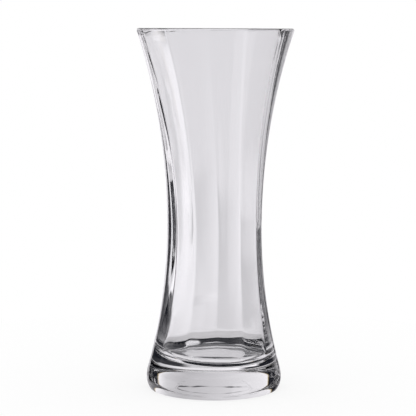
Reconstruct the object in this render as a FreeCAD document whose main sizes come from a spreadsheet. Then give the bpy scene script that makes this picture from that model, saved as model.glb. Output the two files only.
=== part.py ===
"""A hyacinth forcing vase: one piece of clear optic glass.

The outside is a plain turned shape: a wide flared mouth, a narrow waist that holds the bulb clear of the
water, and a flank that spreads to a heavy foot with a softly rounded heel.  The inside is optic glass: twelve
upright panels that meet at soft creases, over a thick solid base.  The rim is cut flat, with a bevel ground
inside it, and the underside has a shallow round recess, so the vase stands on a flat ring.

Frame: millimetres, +Z up, the origin at the centre of the foot's standing face, and the vase's axis on Z.
The panels are spaced evenly round Z, and the first pair faces along X.
"""

import FreeCAD
import Part

import math
import os

import Sketcher

# The driving dimensions, in millimetres but for the last, which is a count.
SIZES = {
    "height": 250.0,  # standing face to the cut rim
    "waist_radius": 32.8,  # outside, where the vase is narrowest
    "waist_height": 114.5,  # standing face to the narrowest place
    "rim_flare": 21.9,  # how far the mouth stands out past the waist
    "foot_spread": 14.3,  # how far the heel, at its widest, stands out past the waist
    "heel_radius": 27.0,  # of the soft curve that joins the flank to the widest place
    "corner_radius": 7.2,  # of the rounding from the widest place to the standing face
    "rim_wall": 2.3,  # glass at a crease, where the wall is thinnest
    "waist_wall": 2.7,
    "floor_wall": 5.6,  # the same from the heel's widest place, level with the floor
    "rim_optic": 1.3,  # how much thicker than that the glass is at the middle of a panel
    "waist_optic": 0.8,
    "floor_optic": 0.4,
    "base_thickness": 21.0,  # standing face to the vessel's floor
    "floor_rounding": 9.0,  # inside, from the floor up into each panel
    "rim_land": 1.2,  # the flat left between the rim's outer edge and the bevel inside it
    "rim_arris": 0.4,  # the small flat that takes the sharpness off the rim's outer edge
    "recess_radius": 19.0,  # of the shallow round recess in the underside
    "recess_depth": 0.5,
    "recess_slope": 1.0,  # width of the recess's sloping edge
    "overrun": 5.0,  # how far a tool that cuts the glass reaches past it
    "panel_pairs": 6,  # opposite panels are made in pairs
}

# How constraints number the places on a line or an arc, and the sketch's own axes.
START, END, CENTRE = range(1, 4)
LEVEL_AXIS, UPRIGHT_AXIS = range(-1, -3, -1)

HALF_TURN = 180


def size(*added, less=()):
    """Named sizes added up, less others: the value, and the expression that ties a dimension to the sheet."""
    value = sum(SIZES[name] for name in added) - sum(SIZES[name] for name in less)
    expression = " + ".join("Sizes." + name for name in added)
    expression += "".join(" - Sizes." + name for name in less)
    return value, expression


def make_document():
    """A new document with its driving dimensions in a spreadsheet."""
    doc = FreeCAD.newDocument("HyacinthVase")
    sheet = doc.addObject("Spreadsheet::Sheet", "Sizes")
    for row, (name, value) in enumerate(SIZES.items(), start=1):
        sheet.set("A%d" % row, name)
        sheet.set("B%d" % row, str(value))
        sheet.setAlias("B%d" % row, name)
    doc.recompute()
    return doc


def origin_plane(body, role):
    """One of a body's own planes, such as XZ_Plane."""
    return [plane for plane in body.Origin.OriginFeatures if plane.Role == role][0]


class Outline:
    """Half of an upright section, as a sketch: radius runs across and height runs up."""

    def __init__(self, body, name):
        self.sketch = body.newObject("Sketcher::SketchObject", name)
        self.sketch.AttachmentSupport = [(origin_plane(body, "XZ_Plane"), "")]
        self.sketch.MapMode = "FlatFace"

    def line(self, start, end):
        segment = Part.LineSegment(FreeCAD.Vector(*start, 0), FreeCAD.Vector(*end, 0))
        return self.sketch.addGeometry(segment, False)

    def arc(self, centre, radius, first_angle, last_angle):
        circle = Part.Circle(FreeCAD.Vector(*centre, 0), FreeCAD.Vector(0, 0, 1), radius)
        return self.sketch.addGeometry(Part.ArcOfCircle(circle, first_angle, last_angle), False)

    def mark(self, place):
        """A point that only guides the outline."""
        return self.sketch.addGeometry(Part.Point(FreeCAD.Vector(*place, 0)), True)

    def constrain(self, kind, *places):
        return self.sketch.addConstraint(Sketcher.Constraint(kind, *places))

    def bind(self, name, measure, kind, *places):
        """Adds a dimension, names it and ties it to the sheet."""
        value, expression = measure
        index = self.constrain(kind, *places, value)
        self.sketch.renameConstraint(index, name)
        self.sketch.setExpression("Constraints." + name, expression)

    def out(self, name, measure, piece, end):
        """Sets how far an end lies from the vase's axis."""
        self.bind(name, measure, "DistanceX", LEVEL_AXIS, START, piece, end)

    def up(self, name, measure, piece, end):
        """Sets how high an end lies above the standing face."""
        self.bind(name, measure, "DistanceY", LEVEL_AXIS, START, piece, end)


def swing_radius(narrow, wide, rise):
    """Radius of the arc that leaves an upright wall at radius narrow and reaches radius wide after a rise."""
    step = wide - narrow
    return (rise**2 + step**2) / (2 * step)


def draw_flare(outline, flank, waist, mouth):
    """Draws the arc that carries on from the flank, upright at the waist, and swings out to the mouth."""
    start = size("waist_height")
    rise = SIZES["height"] - start[0]
    radius = swing_radius(waist[0], mouth[0], rise)
    sweep = math.asin(rise / radius)
    flare = outline.arc((waist[0] + radius, start[0]), radius, math.pi - sweep, math.pi)
    outline.constrain("Tangent", flank, START, flare, END)
    outline.constrain("Horizontal", flare, CENTRE, flare, END)
    outline.out("waist", waist, flare, END)
    outline.up("waist_height", start, flare, END)
    return flare


def draw_outside(outline):
    """Draws the glass as if it were solid: recess, standing ring, heel, flank, flare and rim."""
    waist = size("waist_radius")
    mouth = size("waist_radius", "rim_flare")
    foot = size("waist_radius", "foot_spread")
    corner = size("corner_radius")
    heel = size("heel_radius")
    depth = size("recess_depth")
    recess = size("recess_radius")
    recess_top = size("recess_radius", less=("recess_slope",))
    standing_edge = foot[0] - corner[0]

    ceiling = outline.line((0, depth[0]), (recess_top[0], depth[0]))
    slope = outline.line((recess_top[0], depth[0]), (recess[0], 0))
    ring = outline.line((recess[0], 0), (standing_edge, 0))
    rounding = outline.arc((standing_edge, corner[0]), corner[0], -math.pi / 2, 0)

    # The heel's arc runs smoothly into the flank's, so their radii add up to the distance between centres.
    drop = SIZES["waist_height"] - corner[0]
    inset = waist[0] - foot[0] + heel[0]
    flank_radius = (inset**2 + drop**2 - heel[0] ** 2) / (2 * (heel[0] - inset))
    lean = math.asin(drop / (flank_radius + heel[0]))
    swell = outline.arc((foot[0] - heel[0], corner[0]), heel[0], 0, lean)
    flank_centre = (waist[0] + flank_radius, SIZES["waist_height"])
    flank = outline.arc(flank_centre, flank_radius, math.pi, math.pi + lean)

    flare = draw_flare(outline, flank, waist, mouth)
    edge = size("height", less=("rim_arris",))
    land_start = size("waist_radius", "rim_flare", less=("rim_arris",))
    arris = outline.line((mouth[0], edge[0]), (land_start[0], SIZES["height"]))
    rim = outline.line((land_start[0], SIZES["height"]), (0, SIZES["height"]))
    middle = outline.line((0, SIZES["height"]), (0, depth[0]))
    rim_corner = outline.mark((mouth[0], SIZES["height"]))

    outline.constrain("Horizontal", ceiling)
    outline.constrain("Coincident", ceiling, END, slope, START)
    outline.constrain("Coincident", slope, END, ring, START)
    outline.constrain("PointOnObject", ring, START, LEVEL_AXIS)
    outline.constrain("Horizontal", ring)
    outline.constrain("Tangent", ring, END, rounding, START)
    outline.constrain("Tangent", rounding, END, swell, START)
    outline.constrain("Horizontal", rounding, CENTRE, rounding, END)
    outline.constrain("Tangent", swell, END, flank, END)
    outline.constrain("Coincident", flare, START, arris, START)
    outline.constrain("Coincident", arris, END, rim, START)
    outline.constrain("Horizontal", rim)
    outline.constrain("PointOnObject", rim_corner, START, flare)
    outline.constrain("Coincident", rim, END, middle, START)
    outline.constrain("Coincident", middle, END, ceiling, START)
    outline.constrain("PointOnObject", middle, START, UPRIGHT_AXIS)
    outline.constrain("Vertical", middle)
    outline.up("recess_depth", depth, ceiling, START)
    outline.out("recess_top", recess_top, ceiling, END)
    outline.out("recess", recess, slope, END)
    outline.out("foot", foot, rounding, END)
    outline.bind("corner", corner, "Radius", rounding)
    outline.bind("heel", heel, "Radius", swell)
    outline.out("mouth", mouth, rim_corner, START)
    outline.up("mouth_height", size("height"), rim_corner, START)
    outline.up("edge", edge, arris, START)
    outline.out("land_start", land_start, arris, END)
    outline.up("rim", size("height"), arris, END)


def draw_cavity(outline, floor, waist, mouth):
    """Draws the hollow from its floor to past the rim, for the radii given at floor, waist and mouth."""
    base = size("base_thickness")
    top = size("height", "overrun")
    bottom = SIZES["waist_height"]

    ground = outline.line((0, base[0]), (floor[0], base[0]))
    radius = swing_radius(waist[0], floor[0], bottom - base[0])
    lean = math.asin((bottom - base[0]) / radius)
    flank = outline.arc((waist[0] + radius, bottom), radius, math.pi, math.pi + lean)
    flare = draw_flare(outline, flank, waist, mouth)
    riser = outline.line((mouth[0], SIZES["height"]), (mouth[0], top[0]))
    lid = outline.line((mouth[0], top[0]), (0, top[0]))
    middle = outline.line((0, top[0]), (0, base[0]))

    outline.constrain("Horizontal", ground)
    outline.constrain("Coincident", ground, END, flank, END)
    outline.constrain("Coincident", flare, START, riser, START)
    outline.constrain("Vertical", riser)
    outline.constrain("Coincident", riser, END, lid, START)
    outline.constrain("Horizontal", lid)
    outline.constrain("Coincident", lid, END, middle, START)
    outline.constrain("Coincident", middle, END, ground, START)
    outline.constrain("PointOnObject", middle, START, UPRIGHT_AXIS)
    outline.constrain("Vertical", middle)
    outline.up("floor_height", base, ground, START)
    outline.out("floor", floor, ground, END)
    outline.out("mouth", mouth, flare, START)
    outline.up("rim", size("height"), flare, START)
    outline.up("top", top, riser, END)


def same(first, second):
    """Whether two places are one, to a millionth of the vase's height."""
    return abs(first - second) < SIZES["height"] / 1e6


def make_outside(doc):
    """The turned outside, not yet hollow."""
    body = doc.addObject("PartDesign::Body", "Outside")
    outline = Outline(body, "OutsideOutline")
    draw_outside(outline)
    turned = body.newObject("PartDesign::Revolution", "OutsideTurned")
    turned.Profile = outline.sketch
    turned.ReferenceAxis = (outline.sketch, ["V_Axis"])
    turned.Angle = 2 * HALF_TURN
    return body


def make_hollow_pair(doc, number):
    """The hollow between two opposite faces of the inside, endless sideways, with its floor edges rounded.

    Even numbers are the panels.  Odd ones, turned to lie between them, are the narrow faces that ease the
    creases, where the glass is thinner by its optic.
    """
    glass = ("wall", "optic") if number % 2 == 0 else ("wall",)
    body = doc.addObject("PartDesign::Body", "HollowPair%d" % number)
    outline = Outline(body, "HollowOutline%d" % number)
    floor = size("waist_radius", "foot_spread", less=["floor_" + layer for layer in glass])
    waist = size("waist_radius", less=["waist_" + layer for layer in glass])
    mouth = size("waist_radius", "rim_flare", less=["rim_" + layer for layer in glass])
    draw_cavity(outline, floor, waist, mouth)

    swept = body.newObject("PartDesign::Pad", "HollowSwept%d" % number)
    swept.Profile = outline.sketch
    swept.Midplane = True
    swept.setExpression("Length", "2 * (Sizes.waist_radius + Sizes.rim_flare + Sizes.overrun)")
    mirrored = body.newObject("PartDesign::Mirrored", "HollowMirrored%d" % number)
    mirrored.Originals = [swept]
    mirrored.MirrorPlane = (origin_plane(body, "YZ_Plane"), [""])
    body.Tip = mirrored

    doc.recompute()
    floor_edges = []
    for index, edge in enumerate(mirrored.Shape.Edges, start=1):
        ends = [corner.Point for corner in edge.Vertexes]
        if all(same(end.z, SIZES["base_thickness"]) and same(abs(end.x), floor[0]) for end in ends):
            floor_edges.append("Edge%d" % index)
    rounded = body.newObject("PartDesign::Fillet", "FloorRounded%d" % number)
    rounded.Base = (mirrored, floor_edges)
    rounded.setExpression("Radius", "Sizes.floor_rounding")
    body.Tip = rounded

    body.Placement.Rotation = FreeCAD.Rotation(FreeCAD.Vector(0, 0, 1), 0)
    turn = "%d deg * %d / (2 * Sizes.panel_pairs)" % (HALF_TURN, number)
    body.setExpression("Placement.Rotation.Angle", turn)
    return body


def make_rim_bevel(doc):
    """The cone that grinds a bevel at 45 degrees inside the rim and leaves a flat land outside it."""
    cone = doc.addObject("Part::Cone", "RimBevel")
    reach = "(Sizes.rim_wall + Sizes.rim_optic)"
    land_edge = "Sizes.waist_radius + Sizes.rim_flare - Sizes.rim_land"
    cone.setExpression("Radius1", "%s - %s" % (land_edge, reach))
    cone.setExpression("Radius2", "%s + Sizes.overrun" % land_edge)
    cone.setExpression("Height", "%s + Sizes.overrun" % reach)
    cone.setExpression("Placement.Base.z", "Sizes.height - %s" % reach)
    return cone


def make_vase(doc):
    """The turned outside, hollowed by the panels and creases together, and bevelled inside the rim."""
    outside = make_outside(doc)
    pairs = [make_hollow_pair(doc, number) for number in range(2 * SIZES["panel_pairs"])]
    bevel = make_rim_bevel(doc)
    cavity = doc.addObject("Part::MultiCommon", "Cavity")
    cavity.Shapes = pairs
    hollowed = doc.addObject("Part::Cut", "Hollowed")
    hollowed.Base = outside
    hollowed.Tool = cavity
    vase = doc.addObject("Part::Cut", "Vase")
    vase.Base = hollowed
    vase.Tool = bevel
    vase.Label = "glass_vase"
    vase.Placement = FreeCAD.Placement()
    return vase


def check(doc):
    """Stops if any object failed, or if a sketch still has freedom left in it."""
    for item in doc.Objects:
        if "Invalid" in item.State or "Error" in item.State:
            raise RuntimeError("%s failed: %s" % (item.Name, item.State))
        if item.isDerivedFrom("Sketcher::SketchObject") and not item.FullyConstrained:
            raise RuntimeError("%s is not fully constrained" % item.Name)


def write_node(item):
    """Writes a sub-part's solid to its own file, once it is known to be sound."""
    shape = item.Shape
    if shape.isNull() or not shape.isValid() or len(shape.Solids) != 1:
        raise RuntimeError("%s has no single sound solid" % item.Label)
    os.makedirs("parts", exist_ok=True)
    shape.exportStep("parts/%s.step" % item.Label)
    box = shape.optimalBoundingBox(False, False)
    print("%s: %d faces, %.0f mm3" % (item.Label, len(shape.Faces), shape.Volume))
    print("  x %.3f to %.3f, y %.3f to %.3f" % (box.XMin, box.XMax, box.YMin, box.YMax))
    print("  z %.3f to %.3f" % (box.ZMin, box.ZMax))


def main():
    doc = make_document()
    vase = make_vase(doc)
    doc.recompute()
    check(doc)
    outside = doc.getObject("Outside").Shape
    hollow = doc.getObject("Cavity").Shape
    if not vase.Shape.Volume < outside.Volume - hollow.Volume / 2:
        raise RuntimeError("the cavity was not cut")
    write_node(vase)


main()
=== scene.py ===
"""A hyacinth forcing vase in clear optic glass, standing on a pale floor in a bright-field studio.

One continuous piece of glass: a turned outside, twelve soft panels inside, a solid base, a rounded rim and
a shallow round recess under the foot.  Lengths are in metres.
"""
import math
from functools import partial

import bpy
import numpy as np
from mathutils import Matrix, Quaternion, Vector


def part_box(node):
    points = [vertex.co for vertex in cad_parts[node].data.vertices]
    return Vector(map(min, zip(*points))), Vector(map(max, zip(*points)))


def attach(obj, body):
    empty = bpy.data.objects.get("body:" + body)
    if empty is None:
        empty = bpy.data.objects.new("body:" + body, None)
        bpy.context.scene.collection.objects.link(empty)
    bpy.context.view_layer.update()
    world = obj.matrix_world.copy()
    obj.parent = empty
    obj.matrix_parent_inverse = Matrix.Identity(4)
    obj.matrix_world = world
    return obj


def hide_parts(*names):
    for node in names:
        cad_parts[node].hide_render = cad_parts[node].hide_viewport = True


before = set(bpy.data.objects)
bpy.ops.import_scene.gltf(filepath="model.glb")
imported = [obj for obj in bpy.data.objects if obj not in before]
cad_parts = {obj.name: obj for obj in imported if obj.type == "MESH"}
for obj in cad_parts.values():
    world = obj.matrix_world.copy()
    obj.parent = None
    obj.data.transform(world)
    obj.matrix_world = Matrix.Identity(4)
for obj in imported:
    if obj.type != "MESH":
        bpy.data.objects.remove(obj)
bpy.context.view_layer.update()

lowest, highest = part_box("glass_vase")

MM = 0.001
TURN = 2 * math.pi
HEIGHT = highest.z - lowest.z

# The outside: two arcs that meet upright at the waist, the heel, and an undercut down to the standing edge.
WAIST_RADIUS = 32.8 * MM
WAIST_HEIGHT = 114.5 * MM
RIM_FLARE = 21.9 * MM
FOOT_SPREAD = 14.3 * MM
HEEL_RADIUS = 27 * MM
WIDEST_HEIGHT = 7.2 * MM
UNDERCUT_RADIUS = 13 * MM
CORNER_RADIUS = 0.4 * MM
RECESS_RADIUS = 19 * MM
RECESS_DEPTH = 0.5 * MM
RECESS_SLOPE = 2.5 * MM

# The inside: glass at the middle of a panel, and how much deeper the creases between panels lie.
RIM_WALL = 3.6 * MM
WAIST_WALL = 4.0 * MM
FLOOR_WALL = 7.6 * MM
RIM_OPTIC = 0.9 * MM
WAIST_OPTIC = 0.8 * MM
FLOOR_OPTIC = 0.15 * MM
BASE_THICKNESS = 21 * MM
FLOOR_ROUNDING = 8.5 * MM
PANELS = 12
CREASE_SHARPNESS = 90

# The rim: a rounding outside, a narrow crown, and a softer rounding down to the panelled wall.
RIM_ROUNDING = 1.5 * MM
RIM_CROWN = 0.3 * MM
RIM_DROP_PER_RUN = 1.0

# Hand-worked glass: the creases twist, the inside wanders off the axis, and its floor is out of level.
# The powers say how late each comes in on the way up or down from the waist.
TWIST_AT_RIM = math.radians(-6)
TWIST_POWER = 1.5
FLOOR_TILT = (-0.045, 0.06)
TILT_POWER = 3
SHIFT_AT_WAIST = 2.4 * MM
SHIFT_AT_RIM = -0.9 * MM
SHIFT_POWER = 3

# How finely the glass is laid out.
ROUND_STEPS = 480
UP_STEPS = 26
CORNER_STEPS = 12
EDGE_STEPS = 8
FLOOR_STEPS = 10


def eased(share):
    """From 0 to 1 with no slope at either end: 3 s squared less 2 s cubed."""
    return share**2 * (3 - 2 * share)


def swing_radius(narrow, wide, rise):
    """Radius of the arc that leaves an upright wall at one radius and reaches a wider one after a rise.

    It is the sum of the squares of the rise and the step, over twice the step.
    """
    step = wide - narrow
    return (rise**2 + step**2) / (2 * step)


def sweep(centre, radius, first, last, steps):
    """Points on an arc as rows of (radius, height): centre plus radius times (cos a, sin a)."""
    angle = np.linspace(first, last, steps)
    return np.column_stack([centre[0] + radius * np.cos(angle), centre[1] + radius * np.sin(angle)])


def level(first, last, height):
    """Points across a level face between two radii, without the ends."""
    across = np.linspace(first, last, FLOOR_STEPS + 1)[1:-1]
    return np.column_stack([across, np.full_like(across, height)])


def outside_profile():
    """The outside from the middle of the recess out over the foot and up to the rim's crown."""
    foot = WAIST_RADIUS + FOOT_SPREAD
    ceiling = level(0, RECESS_RADIUS - RECESS_SLOPE, RECESS_DEPTH)
    share = np.linspace(0, 1, EDGE_STEPS)
    slope = np.column_stack([RECESS_RADIUS - RECESS_SLOPE * (1 - share), RECESS_DEPTH * (1 - eased(share))])

    # The corner's small arc runs smoothly into the one that draws in from the widest place.
    reach = UNDERCUT_RADIUS - CORNER_RADIUS
    lean = math.asin((WIDEST_HEIGHT - CORNER_RADIUS) / reach)
    middle = foot - UNDERCUT_RADIUS
    corner_centre = (middle + reach * math.cos(lean), CORNER_RADIUS)
    corner = sweep(corner_centre, CORNER_RADIUS, -math.pi / 2, -lean, CORNER_STEPS)
    undercut = sweep((middle, WIDEST_HEIGHT), UNDERCUT_RADIUS, -lean, 0, CORNER_STEPS)[1:]

    # The heel's arc and the flank's touch, and the flank stands upright at the waist.  So its radius is the
    # square of the inset plus that of the drop less that of the heel, over twice the foot's spread.
    drop = WAIST_HEIGHT - WIDEST_HEIGHT
    inset = HEEL_RADIUS - FOOT_SPREAD
    flank_radius = (inset**2 + drop**2 - HEEL_RADIUS**2) / (2 * FOOT_SPREAD)
    lean = math.asin(drop / (flank_radius + HEEL_RADIUS))
    heel = sweep((foot - HEEL_RADIUS, WIDEST_HEIGHT), HEEL_RADIUS, 0, lean, CORNER_STEPS)[1:]
    flank_centre = (WAIST_RADIUS + flank_radius, WAIST_HEIGHT)
    flank = sweep(flank_centre, flank_radius, math.pi + lean, math.pi, UP_STEPS)[1:]

    # The rim's rounding touches the flare's arc from inside the glass.
    flare_radius = swing_radius(0, RIM_FLARE, HEIGHT - WAIST_HEIGHT)
    flare_centre = (WAIST_RADIUS + flare_radius, WAIST_HEIGHT)
    rise = HEIGHT - RIM_ROUNDING - WAIST_HEIGHT
    reach = flare_radius + RIM_ROUNDING
    lean = math.asin(rise / reach)
    flare = sweep(flare_centre, flare_radius, math.pi, math.pi - lean, UP_STEPS)[1:]
    rim_centre = (flare_centre[0] - reach * math.cos(lean), HEIGHT - RIM_ROUNDING)
    rim = sweep(rim_centre, RIM_ROUNDING, -lean, math.pi / 2, EDGE_STEPS)[1:]
    return np.vstack([ceiling, slope, corner, undercut, heel, flank, flare, rim])


def flare_inside(height):
    """Radius of the inside at the middle of a panel, above the waist, on the arc that reaches the rim.

    It is the radius at the waist plus the swing, less the root of the swing squared less the rise squared.
    """
    narrow = WAIST_RADIUS - WAIST_WALL
    swing = swing_radius(narrow, WAIST_RADIUS + RIM_FLARE - RIM_WALL, HEIGHT - WAIST_HEIGHT)
    return narrow + swing - np.sqrt(swing**2 - (height - WAIST_HEIGHT) ** 2)


def flank_inside():
    """The middle of a panel from the waist down to the floor's middle, and the radius where the floor starts.

    An arc upright at the waist, then the floor's rounding, then a level face.
    """
    waist = WAIST_RADIUS - WAIST_WALL
    drop = WAIST_HEIGHT - BASE_THICKNESS
    radius = swing_radius(waist, WAIST_RADIUS + FOOT_SPREAD - FLOOR_WALL, drop)
    # The floor's rounding touches the flank's arc from outside, and the floor.
    reach = radius + FLOOR_ROUNDING
    lean = math.asin((drop - FLOOR_ROUNDING) / reach)
    edge = waist + radius - reach * math.cos(lean)
    flank = sweep((waist + radius, WAIST_HEIGHT), radius, math.pi, math.pi + lean, UP_STEPS)[1:]
    centre = (edge, BASE_THICKNESS + FLOOR_ROUNDING)
    rounding = sweep(centre, FLOOR_ROUNDING, lean, -math.pi / 2, 2 * CORNER_STEPS)[1:]
    return np.vstack([flank, rounding, level(edge, 0, BASE_THICKNESS)]), edge


def panel_shape(angle):
    """How far round a panel a direction lies, from 0 at its middle to 1 at a crease.

    The wall of a regular polygon lies at 1 over the largest of the cosines of the angles to its sides.  The
    root of a sum of high powers of those cosines takes the place of the largest, which eases the creases.
    """
    sides = np.arange(PANELS) * TURN / PANELS

    def reach(from_middle):
        cosines = np.clip(np.cos(from_middle[..., None] - sides), 0, None)
        return 1 / (cosines**CREASE_SHARPNESS).sum(-1) ** (1 / CREASE_SHARPNESS)

    middle = reach(np.array(0.0))
    crease = reach(np.array(TURN / PANELS / 2))
    return (reach(angle) - middle) / (crease - middle)


def turned(profile, around):
    """A profile of (radius, height) rows carried round the axis.

    Each point is the radius times (cos a, sin a), at the row's height.
    """
    out = profile[:, :1]
    up = np.repeat(profile[:, 1:], len(around), axis=1)
    return np.stack([out * np.cos(around), out * np.sin(around), up], axis=-1)


def inside_grid(around, crown):
    """The inside, row by row from under the rim to the floor: panels, then twist, shift and tilt.

    The radius is the turned one plus the optic's depth times the panel's shape.  Rows of the flare end
    where the rim's rounding begins, lower at the middle of a panel, where the glass is thicker.
    """
    rim = WAIST_RADIUS + RIM_FLARE - RIM_WALL
    below, edge = flank_inside()
    # Each row's share of the way up from the waist to the rim, and of the way down from it to the floor.
    share = np.linspace(1, 0, UP_STEPS)
    above = np.concatenate([share, np.zeros(len(below))])
    drop = (WAIST_HEIGHT - below[:, 1]) / (WAIST_HEIGHT - BASE_THICKNESS)
    low = np.concatenate([np.zeros(UP_STEPS), drop])
    optic = WAIST_OPTIC + (RIM_OPTIC - WAIST_OPTIC) * above + (FLOOR_OPTIC - WAIST_OPTIC) * low
    optic *= np.concatenate([np.ones(UP_STEPS), np.clip(below[:, 0] / edge, 0, 1) ** 2])
    twist = TWIST_AT_RIM * above**TWIST_POWER
    panels = optic[:, None] * panel_shape(around - twist[:, None] - TURN / PANELS / 2)

    top = HEIGHT - RIM_DROP_PER_RUN * (crown - rim - panels[0])
    flare_height = WAIST_HEIGHT + (top - WAIST_HEIGHT) * share[:, None]
    lower = np.repeat(below[:, None, :], len(around), axis=1)
    height = np.concatenate([flare_height, lower[..., 1]])
    radius = np.concatenate([flare_inside(flare_height), lower[..., 0]]) + panels
    grid = np.stack([radius * np.cos(around), radius * np.sin(around), height], axis=-1)

    shift = SHIFT_AT_WAIST + (SHIFT_AT_RIM - SHIFT_AT_WAIST) * above
    grid[..., 0] += (shift * (1 - low**SHIFT_POWER))[:, None]
    tilt = eased(low)[:, None] ** TILT_POWER
    grid[..., 2] += (FLOOR_TILT[0] * grid[..., 0] + FLOOR_TILT[1] * grid[..., 1]) * tilt
    return grid


def linked(name, points, faces):
    """A mesh object with these points and faces, placed in the scene."""
    mesh = bpy.data.meshes.new(name)
    mesh.from_pydata(points.reshape(-1, 3).tolist(), [], faces)
    mesh.update()
    made = bpy.data.objects.new(name, mesh)
    bpy.context.scene.collection.objects.link(made)
    return made


def make_vase():
    """The glass as one closed grid: round the axis, and along the section from underside to floor."""
    around = np.arange(ROUND_STEPS) * TURN / ROUND_STEPS
    outside = outside_profile()
    crown = outside[-1, 0] - RIM_CROWN
    outer = turned(outside, around)
    inner = inside_grid(around, crown)

    # The rim's inner rounding is a quarter of an ellipse from the crown to the top of the panelled wall.
    crown_ring = turned(np.array([(crown, HEIGHT)]), around)
    angle = np.linspace(math.pi / 2, 0, EDGE_STEPS)[:-1]
    across = 1 - np.cos(angle)
    lip = inner[0] + (crown_ring - inner[0]) * np.column_stack([across, across, np.sin(angle)])[:, None, :]

    rows = np.concatenate([outer, lip, inner])
    count = len(rows)
    points = np.vstack([rows.reshape(-1, 3), [(0, 0, RECESS_DEPTH), (0, 0, BASE_THICKNESS)]])
    recess_middle = count * ROUND_STEPS
    floor_middle = recess_middle + 1
    ring = np.arange(ROUND_STEPS)
    following = np.roll(ring, -1)
    starts = np.arange(count - 1)[:, None] * ROUND_STEPS
    quads = np.stack([
        starts + ring, starts + following, starts + ROUND_STEPS + following, starts + ROUND_STEPS + ring,
    ], axis=-1).reshape(-1, 4)
    last = (count - 1) * ROUND_STEPS
    under = np.column_stack([np.full(ROUND_STEPS, recess_middle), following, ring])
    floor = np.column_stack([np.full(ROUND_STEPS, floor_middle), last + ring, last + following])

    vase = linked("forcing_vase", points, quads.tolist() + under.tolist() + floor.tolist())
    vase.data.shade_smooth()
    return vase


def maths(tree, operation, *inputs):
    """A maths node's result, from values and sockets."""
    node = tree.nodes.new("ShaderNodeMath")
    node.operation = operation
    for socket, value in zip(node.inputs, inputs):
        if isinstance(value, (int, float)):
            socket.default_value = value
        else:
            tree.links.new(value, socket)
    return node.outputs[0]


def smooth_step(tree, value, start, end):
    """From 0 to 1, eased at both ends, as a value passes from start to end."""
    node = tree.nodes.new("ShaderNodeMapRange")
    node.interpolation_type = "SMOOTHSTEP"
    tree.links.new(value, node.inputs["Value"])
    node.inputs["From Min"].default_value = start
    node.inputs["From Max"].default_value = end
    return node.outputs["Result"]


def blended(tree, share, first, second):
    """A share of the way from one colour to another, each a value or a socket."""
    node = tree.nodes.new("ShaderNodeMix")
    node.data_type = "RGBA"
    tree.links.new(share, node.inputs["Factor"])
    for socket, colour in zip(node.inputs[6:8], (first, second)):
        if isinstance(colour, tuple):
            socket.default_value = colour
        else:
            tree.links.new(colour, socket)
    return node.outputs[2]


# The glass: each grain has its waves in a metre across the vase and up it, and its detail.
LONG_WAVES = (70, 6, 2)
FINE_RIPPLE = (230, 120, 3)
LAYERS = (16, 300, 2)
HANDLING = (24, 18, 3)
UNEVEN_MELT = (12, 5, 1)
RIPPLE_SHARE = 0.12
LAYER_SHARE = 0.15
RIPPLE_DEPTH = 0.08 * MM
GLASS_INDEX = 1.52
MELT_TINTS = ((0.98, 0.985, 0.985, 1), (1, 1, 1, 1))

# Where each finish comes in, from none to all of it, and the roughness that it has there.
LAYERED_BASE = (30 * MM, 16 * MM)
GROUND_RIM = (HEIGHT - 0.9 * MM, HEIGHT - 0.1 * MM)
GROUND_ROUGHNESS = 0.25
WORN_EDGE = (0.5 * MM, 0.1 * MM)
WORN_RADII = (42.5 * MM, 44.5 * MM)
WORN_ROUGHNESS = 0.3
HANDLED_SHARES = (0.55, 0.72)
SMUDGE_ROUGHNESS = 0.006


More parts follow.
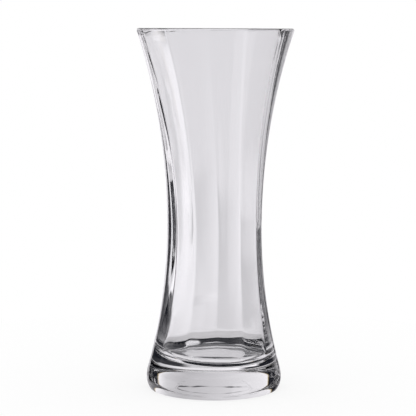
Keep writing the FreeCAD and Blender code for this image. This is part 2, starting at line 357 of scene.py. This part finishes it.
def clear_glass():
    """Colourless polished glass, faintly drawn and rippled, with a ground rim and a worn standing edge."""
    material = bpy.data.materials.new("clear_glass")
    material.use_nodes = True
    tree = material.node_tree
    new = tree.nodes.new
    link = tree.links.new
    sums = partial(maths, tree)
    climb = partial(smooth_step, tree)
    shader = tree.nodes["Principled BSDF"]
    shader.inputs["IOR"].default_value = GLASS_INDEX
    shader.inputs["Transmission Weight"].default_value = 1
    place = new("ShaderNodeTexCoord").outputs["Object"]
    parts = new("ShaderNodeSeparateXYZ")
    link(place, parts.inputs[0])

    def grain(round_scale, up_scale, detail):
        """Noise with its own number of waves in a metre across the vase and up it."""
        mapping = new("ShaderNodeMapping")
        mapping.inputs["Scale"].default_value = (round_scale, round_scale, up_scale)
        link(place, mapping.inputs["Vector"])
        noise = new("ShaderNodeTexNoise")
        noise.inputs["Scale"].default_value = 1
        noise.inputs["Detail"].default_value = detail
        link(mapping.outputs[0], noise.inputs["Vector"])
        return noise.outputs[0]

    # Long drawn waves, a finer ripple, and level layers in the thick base where the gather was built up.
    height = parts.outputs["Z"]
    waves = sums("ADD", grain(*LONG_WAVES), sums("MULTIPLY", grain(*FINE_RIPPLE), RIPPLE_SHARE))
    in_base = climb(height, *LAYERED_BASE)
    layers = sums("MULTIPLY", grain(*LAYERS), sums("MULTIPLY", in_base, LAYER_SHARE))
    bump = new("ShaderNodeBump")
    bump.inputs["Strength"].default_value = 1
    bump.inputs["Distance"].default_value = RIPPLE_DEPTH
    link(sums("ADD", waves, layers), bump.inputs["Height"])
    link(bump.outputs[0], shader.inputs["Normal"])

    # Ground glass on the rim's crown, wear on the standing edge, and faint smudges from handling.
    rim = sums("MULTIPLY", climb(height, *GROUND_RIM), GROUND_ROUGHNESS)
    flat = new("ShaderNodeVectorMath")
    flat.operation = "MULTIPLY"
    flat.inputs[1].default_value = (1, 1, 0)
    link(place, flat.inputs[0])
    length = new("ShaderNodeVectorMath")
    length.operation = "LENGTH"
    link(flat.outputs[0], length.inputs[0])
    near_edge = climb(length.outputs["Value"], *WORN_RADII)
    worn = sums("MULTIPLY", climb(height, *WORN_EDGE), sums("MULTIPLY", near_edge, WORN_ROUGHNESS))
    smudges = sums("MULTIPLY", climb(grain(*HANDLING), *HANDLED_SHARES), SMUDGE_ROUGHNESS)
    link(sums("MAXIMUM", rim, sums("MAXIMUM", worn, smudges)), shader.inputs["Roughness"])

    # The melt is not quite even: a trace of tint comes and goes.
    link(blended(tree, grain(*UNEVEN_MELT), *MELT_TINTS), shader.inputs["Base Color"])
    return material


# The studio, as rows of degrees round from straight behind the vase, positive to its right, then how
# bright and how warm the light from there is.  Each plan serves a band of elevations, from steep below up.
NADIR_PLAN = [(-180, 0.01, 0), (180, 0.01, 0)]
STEEP_PLAN = [
    (-180, 0.8, 0), (-160, 0.8, 0), (-150, 0.01, 0), (150, 0.01, 0), (160, 0.8, 0), (180, 0.8, 0),
]
LOW_PLAN = [
    (-180, 0.01, 0), (-72, 0.01, 0), (-68, 0.85, 0), (14, 0.85, 0), (22, 0.35, 0), (36, 0.01, 0),
    (112, 0.01, 0), (116, 0.85, 0), (146, 0.85, 0), (150, 0.01, 0), (180, 0.01, 0),
]
LEFT_CARD = [(-180, 0.01, 0), (-117, 0.01, 0), (-113, 0.85, 0), (-69, 0.85, 0), (-65, 0.01, 0)]
RIGHT_CARD = [(112, 0.01, 0), (116, 0.8, 0), (146, 0.8, 0), (150, 0.01, 0), (180, 0.01, 0)]
MIDDLE_WINDOW = [
    (-32, 0.01, 0), (-28, 1.1, 0), (-10, 0.98, 0), (0, 0.78, 0), (7, 0.69, 0), (13, 0.65, 0), (20, 0.04, 0),
]
LEVEL_WINDOW = [
    (-20, 0.01, 0), (-14, 1.05, 0), (-10, 0.94, 0), (0, 0.87, 0), (20, 0.87, 0), (30, 0.79, 0),
    (42, 0.65, 0), (48, 0.01, 0),
]
MIDDLE_PLAN = LEFT_CARD + MIDDLE_WINDOW + RIGHT_CARD
LEVEL_PLAN = LEFT_CARD + LEVEL_WINDOW + RIGHT_CARD
# The high window has warm edges.  Dark stretches cross it in one narrow band, as a seam in a cloth would.
HIGH_LEFT = [
    (-180, 0.02, 0), (-100, 0.01, 0), (-50, 0.01, 0), (-48.5, 0.6, 1), (-47, 1.1, 0), (-40, 0.95, 0),
]
HIGH_RIGHT = [(44, 0.88, 0), (50, 1.05, 0), (51.5, 0.55, 1), (53, 0.01, 0), (180, 0.02, 0)]
HIGH_WINDOW = [(-20, 0.8, 0), (0, 0.64, 0), (20, 0.55, 0), (36, 0.68, 0)]
SEAM = [
    (-34, 0.9, 0), (-31, 0.05, 0), (-25, 0.08, 0), (-22, 0.7, 0), (-18, 0.65, 0), (-15, 0.08, 0),
    (-8, 0.08, 0), (-5, 0.58, 0), (3, 0.54, 0), (6, 0.1, 0), (11, 0.08, 0), (14, 0.5, 0), (17, 0.08, 0),
    (29, 0.05, 0), (32, 0.65, 0),
]
HIGH_PLAN = HIGH_LEFT + HIGH_WINDOW + HIGH_RIGHT
SEAM_PLAN = HIGH_LEFT + SEAM + HIGH_RIGHT
TOP_PLAN = [(-180, 0.7, 0), (180, 0.7, 0)]
# The plan that each elevation in degrees brings in as a direction climbs, and how softly.
BANDS = [
    (STEEP_PLAN, -63, 2), (LOW_PLAN, -43, 2), (MIDDLE_PLAN, -14, 1), (LEVEL_PLAN, -5.7, 0.6),
    (HIGH_PLAN, 3, 3), (SEAM_PLAN, 14.4, 0.15), (HIGH_PLAN, 15, 0.15), (TOP_PLAN, 52, 4),
]
CARD_TINT = (1, 0.975, 1.012)
SHADOW_TINT = (0, 0.001, 0.005)
WARMTH_LOSS = (0, 0.25, 0.7)
WHITE = (1, 1, 1, 1)


def make_world():
    """White to the camera, an even soft dome to the floor, and the studio's cards to glass and gloss."""
    world = bpy.data.worlds.new("studio")
    bpy.context.scene.world = world
    world.use_nodes = True
    tree = world.node_tree
    tree.nodes.clear()
    new = tree.nodes.new
    link = tree.links.new
    sums = partial(maths, tree)

    place = new("ShaderNodeTexCoord")
    parts = new("ShaderNodeSeparateXYZ")
    link(place.outputs["Generated"], parts.inputs[0])
    around = sums("ARCTAN2", parts.outputs["X"], parts.outputs["Y"])
    share = sums("MULTIPLY_ADD", around, 1 / TURN, 0.5)
    height = sums("ARCSINE", parts.outputs["Z"])

    def ramp(plan):
        """A plan's colours by how far round a direction lies."""
        node = new("ShaderNodeValToRGB")
        stops = node.color_ramp.elements
        while len(stops) > 1:
            stops.remove(stops[-1])
        for index, (degrees, bright, warmth) in enumerate(plan):
            at = degrees / 360 + 0.5
            stop = stops[0] if index == 0 else stops.new(at)
            stop.position = at
            card = [bright * (1 - loss * warmth) for loss in WARMTH_LOSS]
            stop.color = [c * tint + dark for c, tint, dark in zip(card, CARD_TINT, SHADOW_TINT)] + [1]
        link(share, node.inputs[0])
        return node.outputs["Color"]

    def rising(lower, upper, elevation, softness):
        """Pass from the lower plan to the upper one as a direction climbs past an elevation."""
        edges = math.radians(elevation - softness), math.radians(elevation + softness)
        return blended(tree, smooth_step(tree, height, *edges), lower, upper)

    cards = ramp(NADIR_PLAN)
    for plan, elevation, softness in BANDS:
        cards = rising(cards, ramp(plan), elevation, softness)

    light = new("ShaderNodeLightPath")
    seen = sums("MAXIMUM", light.outputs["Is Glossy Ray"], light.outputs["Is Transmission Ray"])
    seen = sums("MULTIPLY", seen, sums("SUBTRACT", 1, light.outputs["Is Camera Ray"]))
    background = new("ShaderNodeBackground")
    link(blended(tree, seen, WHITE, cards), background.inputs["Color"])
    output = new("ShaderNodeOutputWorld")
    link(background.outputs[0], output.inputs["Surface"])


FLOOR_RADIUS = 300 * MM
FLOOR_GAP = 0.2 * MM
FLOOR_COLOUR = 0.2
FLOOR_ROUGHNESS = 0.8
STAGE_STEPS = 96


def make_floor():
    """A pale round table top, white to the camera where no shadow lies on it."""
    angle = np.arange(STAGE_STEPS) * TURN / STAGE_STEPS
    edge = turned(np.array([(FLOOR_RADIUS, -FLOOR_GAP)]), angle)
    floor = linked("floor", edge, [list(range(STAGE_STEPS))])
    material = bpy.data.materials.new("pale_floor")
    material.use_nodes = True
    tree = material.node_tree
    shader = tree.nodes["Principled BSDF"]
    shader.inputs["Base Color"].default_value = (FLOOR_COLOUR, FLOOR_COLOUR, FLOOR_COLOUR, 1)
    shader.inputs["Roughness"].default_value = FLOOR_ROUGHNESS
    shader.inputs["Specular IOR Level"].default_value = 0
    shader.inputs["Emission Color"].default_value = WHITE
    light = tree.nodes.new("ShaderNodeLightPath")
    lift = maths(tree, "MULTIPLY", light.outputs["Is Camera Ray"], 1 - FLOOR_COLOUR)
    tree.links.new(lift, shader.inputs["Emission Strength"])
    floor.data.materials.append(material)
    floor.visible_transmission = False
    floor.visible_glossy = False


# The table behind the foot as the glass sees it: an arc of a ring, in degrees round from straight behind.
TABLE_INNER = 66 * MM
TABLE_OUTER = 120 * MM
TABLE_BRIGHT = 0.64
TABLE_ARC = (-60, 60)


def studio_card(name, points, faces, bright):
    """A flat card of even brightness that only the glass sees."""
    card = linked(name, points, faces)
    material = bpy.data.materials.new(name)
    material.use_nodes = True
    tree = material.node_tree
    tree.nodes.clear()
    glow = tree.nodes.new("ShaderNodeEmission")
    glow.inputs["Color"].default_value = (*CARD_TINT, 1)
    glow.inputs["Strength"].default_value = bright
    output = tree.nodes.new("ShaderNodeOutputMaterial")
    tree.links.new(glow.outputs[0], output.inputs["Surface"])
    card.data.materials.append(material)
    card.visible_camera = False
    card.visible_diffuse = False
    card.visible_shadow = False


def make_table():
    """The bright arc of the table, a strip of quads between its inner and outer radius."""
    step = np.arange(STAGE_STEPS - 1)
    faces = np.column_stack([step, step + 1, STAGE_STEPS + step + 1, STAGE_STEPS + step])
    edges = np.array([(TABLE_INNER, -FLOOR_GAP), (TABLE_OUTER, -FLOOR_GAP)])
    arc = turned(edges, TURN / 4 - np.radians(np.linspace(*TABLE_ARC, STAGE_STEPS)))
    studio_card("table", arc, faces.tolist(), TABLE_BRIGHT)


# The photograph's view, in a frame 416 pixels wide and high.
CAMERA_DISTANCE = 1.10
SENSOR_MM = 36
FRAME_WIDTH = 416
FOCAL_PIXELS = 1593
RIM_ROW = 28.25
AXIS_COLUMN = 214.6
CAMERA_ROLL = math.radians(0.25)


def make_camera():
    """Level with the rim, looking a little down, with the rim and the vase's axis where they are seen."""
    data = bpy.data.cameras.new("camera")
    data.sensor_width = SENSOR_MM
    data.lens = SENSOR_MM * FOCAL_PIXELS / FRAME_WIDTH
    camera = bpy.data.objects.new("camera", data)
    bpy.context.scene.collection.objects.link(camera)
    bpy.context.scene.camera = camera
    camera.location = (0, -CAMERA_DISTANCE, HEIGHT)
    pitch = math.atan((FRAME_WIDTH / 2 - RIM_ROW) / FOCAL_PIXELS)
    yaw = -math.atan((AXIS_COLUMN - FRAME_WIDTH / 2) / FOCAL_PIXELS)
    look = Vector((math.sin(yaw) * math.cos(pitch), math.cos(yaw) * math.cos(pitch), -math.sin(pitch)))
    camera.rotation_mode = "QUATERNION"
    camera.rotation_quaternion = look.to_track_quat("-Z", "Y") @ Quaternion((0, 0, 1), CAMERA_ROLL)


vase = make_vase()
vase.data.materials.append(clear_glass())
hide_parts("glass_vase")
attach(vase, "root")
make_world()
make_floor()
make_table()
make_camera()

LIGHT_BOUNCES = 32
GLOSSY_BOUNCES = 16
scene = bpy.context.scene
scene.view_settings.view_transform = "Standard"
scene.cycles.max_bounces = LIGHT_BOUNCES
scene.cycles.transmission_bounces = LIGHT_BOUNCES
scene.cycles.glossy_bounces = GLOSSY_BOUNCES
scene.cycles.use_denoising = True
